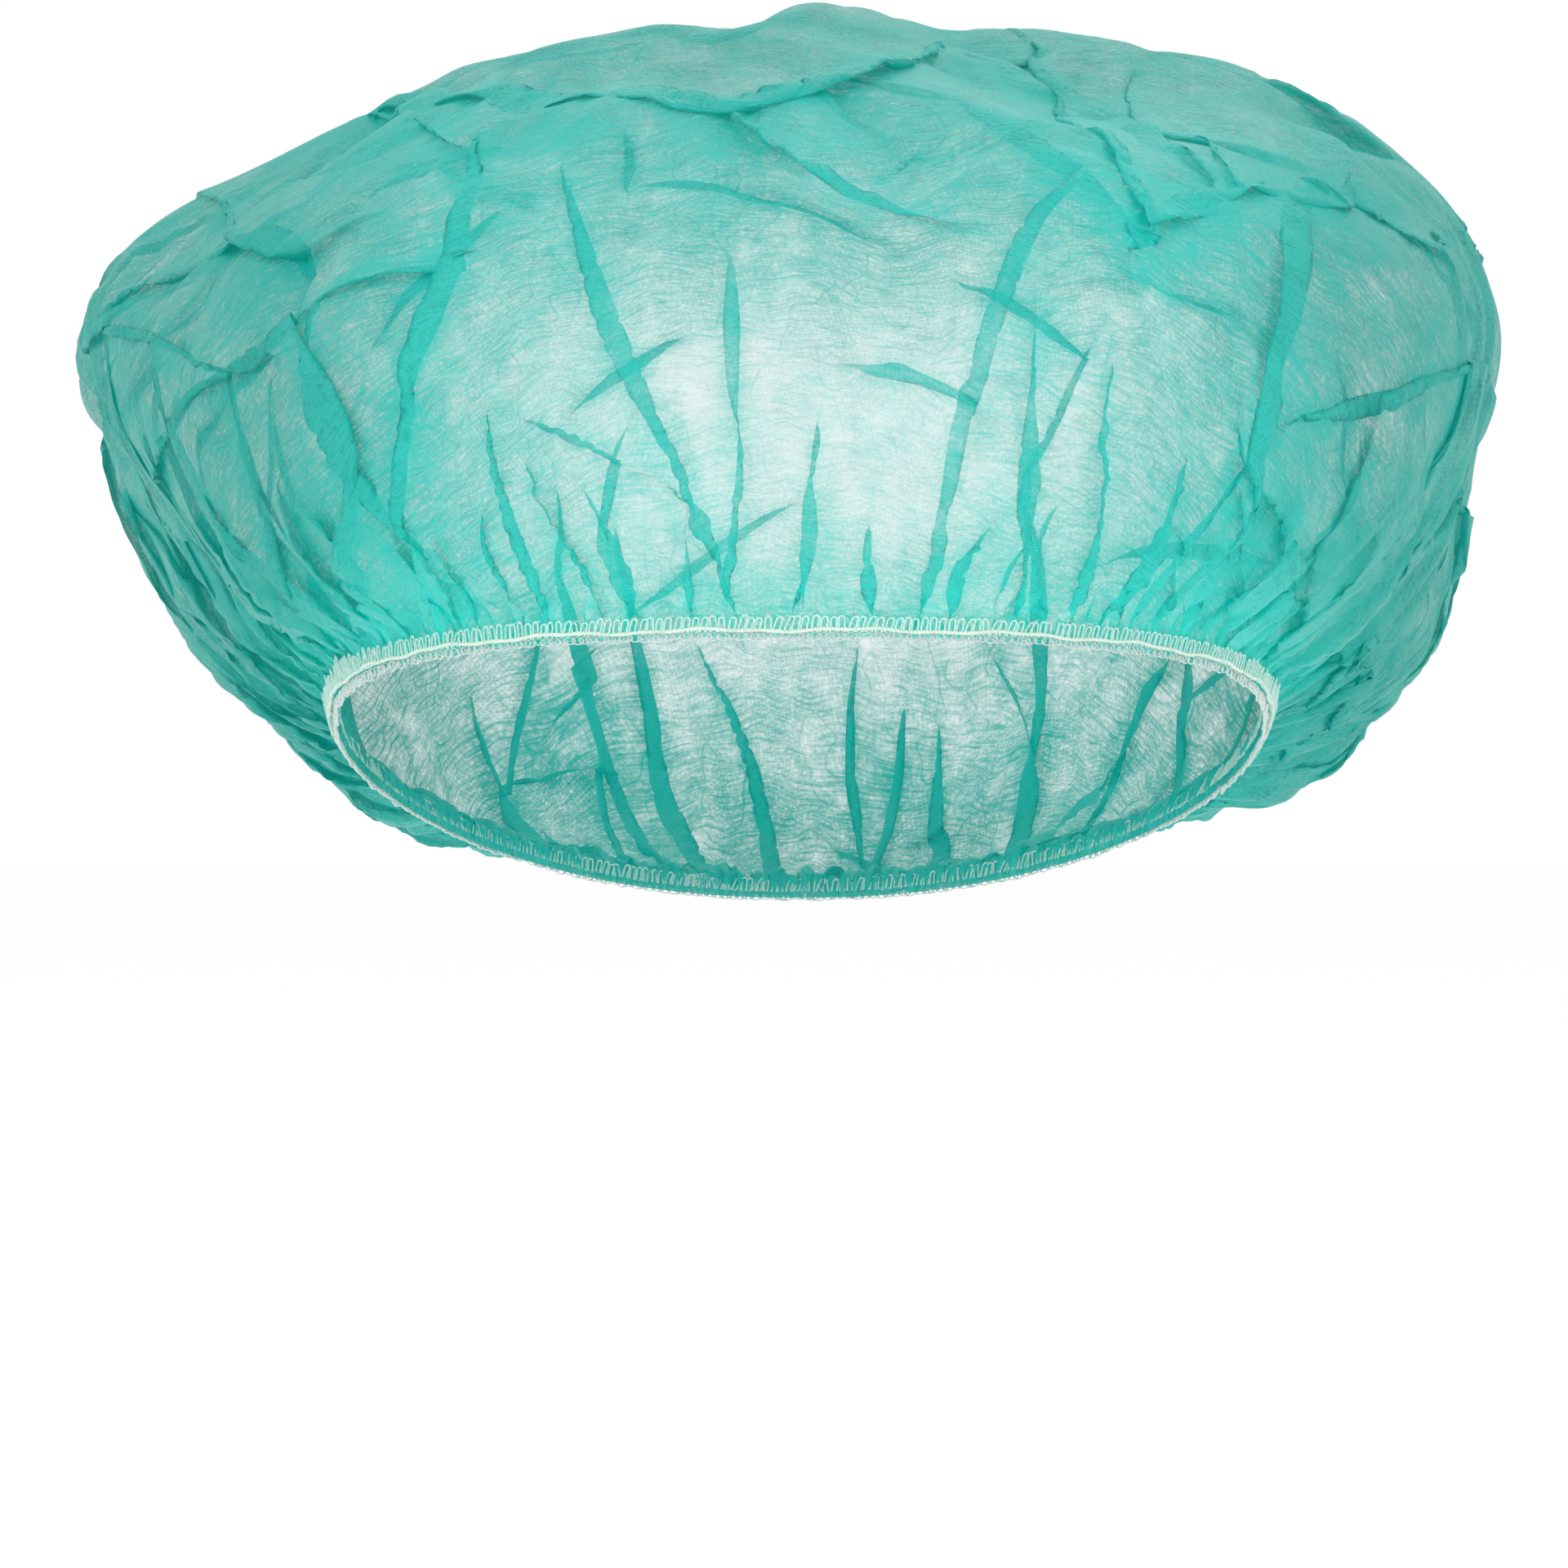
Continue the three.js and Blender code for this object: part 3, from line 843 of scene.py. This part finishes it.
def fibreWebGroup():
    # in: place on the flat cloth in metres, and how strong each part is; out: density and relief
    group = bpy.data.node_groups.new("fibre web", "ShaderNodeTree")
    face = group.interface
    face.new_socket("Place", in_out="INPUT", socket_type="NodeSocketVector")
    for name in ("Grain", "Fibre", "Points", "Crease"):
        face.new_socket(name, in_out="INPUT", socket_type="NodeSocketFloat")
    face.new_socket("Density", in_out="OUTPUT", socket_type="NodeSocketFloat")
    face.new_socket("Relief", in_out="OUTPUT", socket_type="NodeSocketFloat")
    start = newNode(group, "NodeGroupInput")
    end = newNode(group, "NodeGroupOutput")
    place = start.outputs["Place"]
    drift = noiseOf(group, place, weave["drift"], 1, 0.5)
    fine = noiseOf(group, place, weave["fine"], 1, 0.6)
    grain = calculate(group, "SUBTRACT", fine.outputs["Fac"], 0.5)
    # fibres that lie three ways and wander
    bent = bentPlace(group, place, drift.outputs["Color"])
    laid = [strands(group, bent, turn) for turn in weave["turns"]]
    fibre = calculate(group, "ADD", calculate(group, "ADD", laid[0], laid[1]), laid[2])
    # bonded points in slanting rows
    parts = newNode(group, "ShaderNodeSeparateXYZ")
    group.links.new(place, parts.inputs[0])
    across, along = parts.outputs[0], parts.outputs[1]
    wide, narrow = weave["pointsAcross"], weave["pointsAlong"]
    rise = calculate(group, "MULTIPLY_ADD", across, wide, calculate(group, "MULTIPLY", along, narrow))
    fall = calculate(group, "MULTIPLY_ADD", across, -narrow, calculate(group, "MULTIPLY", along, wide))
    peak = calculate(group, "MULTIPLY", calculate(group, "SINE", rise), calculate(group, "SINE", fall))
    dots = calculate(group, "GREATER_THAN", peak, weave["pointFrom"])
    points = calculate(group, "MULTIPLY", dots, ramp(group, drift.outputs["Fac"], 0.45, 0.58))
    # long thin creases
    level = calculate(group, "SUBTRACT", drift.outputs["Fac"], weave["creaseAt"])
    creases = ramp(group, calculate(group, "ABSOLUTE", level), 0.0, weave["creaseHalf"], 1.0, 0.0)
    total = calculate(group, "MULTIPLY_ADD", grain, start.outputs["Grain"], 1.0)
    for values, name in ((fibre, "Fibre"), (points, "Points"), (creases, "Crease")):
        total = calculate(group, "MULTIPLY_ADD", values, start.outputs[name], total)
    group.links.new(total, end.inputs["Density"])
    group.links.new(fine.outputs["Fac"], end.inputs["Relief"])
    return group


def clothMaterial():
    material = bpy.data.materials.new("spunbond cloth")
    material.use_nodes = True
    tree = material.node_tree
    shader = tree.nodes["Principled BSDF"]
    uv = newNode(tree, "ShaderNodeUVMap", uv_map="flat_cloth")
    scale = newNode(tree, "ShaderNodeMapping")
    scale.inputs["Scale"].default_value = (2 * cloth["radius"], 2 * cloth["radius"], 1)
    tree.links.new(uv.outputs["UV"], scale.inputs["Vector"])
    fibres = newNode(tree, "ShaderNodeGroup", node_tree=fibreWebGroup())
    tree.links.new(scale.outputs[0], fibres.inputs["Place"])
    for name in ("Grain", "Fibre", "Points", "Crease"):
        fibres.inputs[name].default_value = web[name.lower()]
    laid = newNode(tree, "ShaderNodeAttribute", attribute_name="dense")
    density = calculate(tree, "MULTIPLY", fibres.outputs["Density"], laid.outputs["Fac"])
    rough = ramp(tree, density, 1.0, 4.0, web["thinRough"], web["thickRough"])
    tree.links.new(rough, shader.inputs["Roughness"])
    relief = newNode(tree, "ShaderNodeBump")
    relief.inputs["Strength"].default_value = web["reliefShare"]
    relief.inputs["Distance"].default_value = web["relief"]
    tree.links.new(fibres.outputs["Relief"], relief.inputs["Height"])
    tree.links.new(relief.outputs[0], shader.inputs["Normal"])
    # each layer of web lets the same share of the light through
    passed = calculate(tree, "POWER", web["passes"], density)
    tree.links.new(calculate(tree, "SUBTRACT", 1.0, passed), shader.inputs["Alpha"])
    # the folds show more colour than single cloth, and painted light makes the middle and the front hem paler
    # than the sides
    side = blend(tree, ramp(tree, density, 1.2, 4.0), web["thinColour"], web["thickColour"])
    middle = newNode(tree, "ShaderNodeAttribute", attribute_name="painted_light_middle")
    tint = blend(tree, middle.outputs["Fac"], side, web["paintedLightColour"])
    paintedHemLight = newNode(tree, "ShaderNodeAttribute", attribute_name="painted_light_hem")
    tint = blend(tree, paintedHemLight.outputs["Fac"], tint, web["paintedHemLightColour"])
    tree.links.new(tint, shader.inputs["Base Color"])
    # a painted glow: the cloth emits its own colour in place of the light that the thin web passes on, and so
    # lightens its shade
    tree.links.new(tint, shader.inputs["Emission Color"])
    shader.inputs["Emission Strength"].default_value = web["paintedGlow"]
    return material


# Trim: the covered elastic, and the overlock stitches that hold it to the hem

trim = {
    "seed": 11,
    "stations": 1440,
    "sections": 540,
    "squeeze": 0.10,
    "sway": ((0.00022, 23, 0), (0.00012, 61, 1)),
    "tall": 0.0006,
    "thick": 0.0008,
    "sitsOut": 0.0007,
    "stitches": 396,
    "thread": 0.00017,
    "loopWide": 0.00092,
    "loopFoot": -0.0003,
    "loopTall": 0.0021,
    "loopOut": 0.0009,
    "chainThread": 0.00022,
    "chainWide": 0.0021,
    "chainTall": 0.0012,
    "chainDrop": 0.0010,
    "innerLoops": 0.0018,
    "scatter": 0.05,
    "frill": 0.22,
}


def hemPath():
    # even stations round the hem: place, way along, way up the cloth, way out
    hem = np.vstack((table[:, -1], table[:1, -1]))
    above = np.vstack((table[:, -4], table[:1, -4]))
    run = np.concatenate(([0], np.cumsum(np.linalg.norm(np.diff(hem, axis=0), axis=1))))
    stations = np.linspace(0, run[-1], trim["stations"] + 1)
    line = np.stack([np.interp(stations, run, hem[:, k]) for k in range(3)], axis=1)
    upper = np.stack([np.interp(stations, run, above[:, k]) for k in range(3)], axis=1)
    along = np.roll(line[:-1], -1, 0) - np.roll(line[:-1], 1, 0)
    along /= np.linalg.norm(along, axis=1)[:, None]
    rise = (upper - line)[:-1]
    rise -= (rise * along).sum(1)[:, None] * along
    rise /= np.linalg.norm(rise, axis=1)[:, None]
    return line[:-1], along, rise, np.cross(along, rise), run[-1]


def roundHem(shares, out, up):
    # from a share of the way round the hem, and distances out and up, to a place
    line, along, rise, away, length = hemPath()
    column = np.mod(shares, 1.0) * len(line)
    left = np.floor(column).astype(int) % len(line)
    right = (left + 1) % len(line)
    part = (column - np.floor(column))[:, None]
    mixed = [rows[left] * (1 - part) + rows[right] * part for rows in (line, rise, away)]
    return mixed[0] + mixed[1] * (up + envelope["hemDrop"])[:, None] + mixed[2] * out[:, None]


def finishPiece(bm, name, material):
    bmesh.ops.recalc_face_normals(bm, faces=bm.faces[:])
    mesh = bpy.data.meshes.new(name)
    bm.to_mesh(mesh)
    bm.free()
    for face in mesh.polygons:
        face.use_smooth = True
    mesh.materials.append(material)
    piece = bpy.data.objects.new(name, mesh)
    bpy.context.collection.objects.link(piece)
    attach(piece, "root")
    return piece


def makeElastic(material):
    bm = bmesh.new()
    bmesh.ops.create_circle(bm, segments=10, radius=0.5)
    bmesh.ops.rotate(bm, verts=bm.verts[:], cent=(0, 0, 0), matrix=Matrix.Rotation(math.pi / 2, 3, "X"))
    bmesh.ops.scale(bm, verts=bm.verts[:], vec=(trim["thick"], 1, trim["tall"]))
    bmesh.ops.translate(bm, verts=bm.verts[:], vec=(1, 0, 0))
    bmesh.ops.spin(
        bm, geom=bm.verts[:] + bm.edges[:], cent=(0, 0, 0), axis=(0, 0, 1),
        angle=2 * math.pi, steps=trim["sections"], use_merge=True,
    )
    spots = np.array([v.co[:] for v in bm.verts])
    shares = np.arctan2(spots[:, 1], spots[:, 0]) / (2 * math.pi)
    squeeze = 1 - trim["squeeze"] * np.cos(2 * math.pi * trim["stitches"] * shares)
    sway = sum(size * np.sin(2 * math.pi * waves * shares + start) for size, waves, start in trim["sway"])
    out = (np.hypot(spots[:, 0], spots[:, 1]) - 1) * squeeze + trim["sitsOut"]
    placed = roundHem(shares, out, spots[:, 2] * squeeze + sway)
    for v, p in zip(bm.verts, placed):
        v.co = p
    return finishPiece(bm, "elastic_edge", material)


def threadLoop():
    # one upright loop of thread: an arch on two legs
    bm = bmesh.new()
    bmesh.ops.create_circle(bm, segments=5, radius=trim["thread"])
    bmesh.ops.translate(bm, verts=bm.verts[:], vec=(trim["loopWide"] / 2, 0, 0))
    first = bm.edges[:]
    swept = bmesh.ops.spin(
        bm, geom=bm.verts[:] + bm.edges[:], cent=(0, 0, 0), axis=(0, -1, 0), angle=math.pi, steps=6,
    )
    last = [g for g in swept["geom_last"] if isinstance(g, bmesh.types.BMEdge)]
    for rim in (first, last):
        leg = bmesh.ops.extrude_edge_only(bm, edges=rim)
        foot = [g for g in leg["geom"] if isinstance(g, bmesh.types.BMVert)]
        reach = trim["loopTall"] - trim["loopFoot"] - trim["loopWide"] / 2
        bmesh.ops.translate(bm, verts=foot, vec=(0, 0, -reach))
    bmesh.ops.translate(bm, verts=bm.verts[:], vec=(0, 0, trim["loopTall"] - trim["loopWide"] / 2))
    mesh = bpy.data.meshes.new("thread_loop")
    bm.to_mesh(mesh)
    bm.free()
    return mesh


def chainLink():
    # one flat link of the chain that runs along the lower edge
    bm = bmesh.new()
    bmesh.ops.create_circle(bm, segments=4, radius=trim["chainThread"])
    bmesh.ops.translate(bm, verts=bm.verts[:], vec=(trim["chainWide"] / 2, 0, 0))
    bmesh.ops.spin(
        bm, geom=bm.verts[:] + bm.edges[:], cent=(0, 0, 0), axis=(0, 1, 0),
        angle=2 * math.pi, steps=10, use_merge=True,
    )
    bmesh.ops.scale(bm, verts=bm.verts[:], vec=(1, 1, trim["chainTall"] / trim["chainWide"]))
    bmesh.ops.translate(bm, verts=bm.verts[:], vec=(0, 0, -trim["chainDrop"]))
    mesh = bpy.data.meshes.new("chain_link")
    bm.to_mesh(mesh)
    bm.free()
    return mesh


def makeStitches(name, template, faces, material):
    # the same small shape set round the hem, each one a little different
    shape = meshPoints(template)
    chance = np.random.default_rng(trim["seed"])
    length = hemPath()[4]
    bm = bmesh.new()
    shares, outs, ups = [], [], []
    for k in range(trim["stitches"]):
        # the stitches stand looser at the temples
        loose = trim["scatter"] + trim["frill"] * math.cos(2 * math.pi * k / trim["stitches"]) ** 6
        for out, turned in faces:
            bm.from_mesh(template)
            tall = 1 + chance.normal(2 * (loose - trim["scatter"]), loose)
            lean = chance.normal(0.15 * turned, 0.08 + loose)
            wide = 1 + chance.normal(0, loose * 0.6)
            middle = k + chance.normal(0, 0.08)
            shares.append(middle / trim["stitches"] + (shape[:, 0] * wide + shape[:, 2] * lean) / length)
            outs.append(out + shape[:, 1] + chance.normal(0, 0.00008))
            ups.append(shape[:, 2] * tall)
    placed = roundHem(np.concatenate(shares), np.concatenate(outs), np.concatenate(ups))
    for v, p in zip(bm.verts, placed):
        v.co = p
    bpy.data.meshes.remove(template)
    return finishPiece(bm, name, material)


def yarnGroup():
    # in: place in metres and turns of yarn round the hem; out: tone of the yarn and its height
    group = bpy.data.node_groups.new("wound yarn", "ShaderNodeTree")
    face = group.interface
    face.new_socket("Place", in_out="INPUT", socket_type="NodeSocketVector")
    face.new_socket("Turns", in_out="INPUT", socket_type="NodeSocketFloat")
    face.new_socket("Slant", in_out="INPUT", socket_type="NodeSocketFloat")
    face.new_socket("Tone", in_out="OUTPUT", socket_type="NodeSocketFloat")
    face.new_socket("Height", in_out="OUTPUT", socket_type="NodeSocketFloat")
    start = newNode(group, "NodeGroupInput")
    end = newNode(group, "NodeGroupOutput")
    parts = newNode(group, "ShaderNodeSeparateXYZ")
    group.links.new(start.outputs["Place"], parts.inputs[0])
    angle = calculate(group, "ARCTAN2", parts.outputs[1], parts.outputs[0])
    wound = calculate(group, "MULTIPLY", angle, start.outputs["Turns"])
    phase = calculate(group, "MULTIPLY_ADD", parts.outputs[2], start.outputs["Slant"], wound)
    rib = calculate(group, "MULTIPLY_ADD", calculate(group, "SINE", phase), 0.5, 0.5)
    fluff = newNode(group, "ShaderNodeTexNoise")
    fluff.inputs["Scale"].default_value = 420
    fluff.inputs["Detail"].default_value = 3
    group.links.new(start.outputs["Place"], fluff.inputs["Vector"])
    soft = calculate(group, "MULTIPLY", fluff.outputs["Fac"], 0.6)
    # the tone follows the turns, pale on their crests and darker in the grooves between them as painted
    # shade; the fluff adds tone at random
    tone = calculate(group, "MULTIPLY_ADD", rib, 0.55, soft)
    group.links.new(tone, end.inputs["Tone"])
    group.links.new(calculate(group, "MULTIPLY_ADD", fluff.outputs["Fac"], 0.4, rib), end.inputs["Height"])
    return group


yarns = yarnGroup()


def yarnMaterial(kind):
    material = bpy.data.materials.new(kind["name"])
    material.use_nodes = True
    tree = material.node_tree
    shader = tree.nodes["Principled BSDF"]
    shader.inputs["Roughness"].default_value = kind["rough"]
    shader.inputs["Alpha"].default_value = kind["alpha"]
    place = newNode(tree, "ShaderNodeTexCoord")
    yarn = newNode(tree, "ShaderNodeGroup", node_tree=yarns)
    tree.links.new(place.outputs["Object"], yarn.inputs["Place"])
    yarn.inputs["Turns"].default_value = kind["turns"]
    yarn.inputs["Slant"].default_value = kind["slant"]
    tint = blend(tree, yarn.outputs["Tone"], kind["deep"], kind["pale"])
    tree.links.new(tint, shader.inputs["Base Color"])
    relief = newNode(tree, "ShaderNodeBump")
    relief.inputs["Strength"].default_value = 0.6
    relief.inputs["Distance"].default_value = 0.0001
    tree.links.new(yarn.outputs["Height"], relief.inputs["Height"])
    tree.links.new(relief.outputs[0], shader.inputs["Normal"])
    return material


# the covered elastic, the clear thread of the loops and the thread of the chain
# deep is the colour of the painted shade in the grooves between turns, pale the colour of the crests
yarnKinds = {
    "elastic": {
        "name": "covered elastic", "deep": (0.50, 0.66, 0.54), "pale": (0.80, 0.86, 0.76),
        "rough": 0.7, "alpha": 1.0, "turns": 900, "slant": 2600,
    },
    "clear": {
        "name": "clear thread", "deep": (0.44, 0.80, 0.72), "pale": (0.80, 0.96, 0.91),
        "rough": 0.4, "alpha": 0.66, "turns": 620, "slant": 5200,
    },
    "chain": {
        "name": "looper thread", "deep": (0.52, 0.70, 0.66), "pale": (0.86, 0.93, 0.91),
        "rough": 0.5, "alpha": 0.72, "turns": 620, "slant": 5200,
    },
}

elastic = makeElastic(yarnMaterial(yarnKinds["elastic"]))
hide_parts("elastic_band")
clearThread = yarnMaterial(yarnKinds["clear"])
chainThread = yarnMaterial(yarnKinds["chain"])
outer = trim["loopOut"]
inner = outer - trim["innerLoops"]
loops = makeStitches("overlock_loops", threadLoop(), ((outer, 1), (inner, -1)), clearThread)
chain = makeStitches("overlock_chain", chainLink(), ((0.0002, 0),), chainThread)
print("trim ready")

crown = makeCrown()
crown.data.materials.append(clothMaterial())
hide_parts("crown")
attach(crown, "root")
print("crown ready")
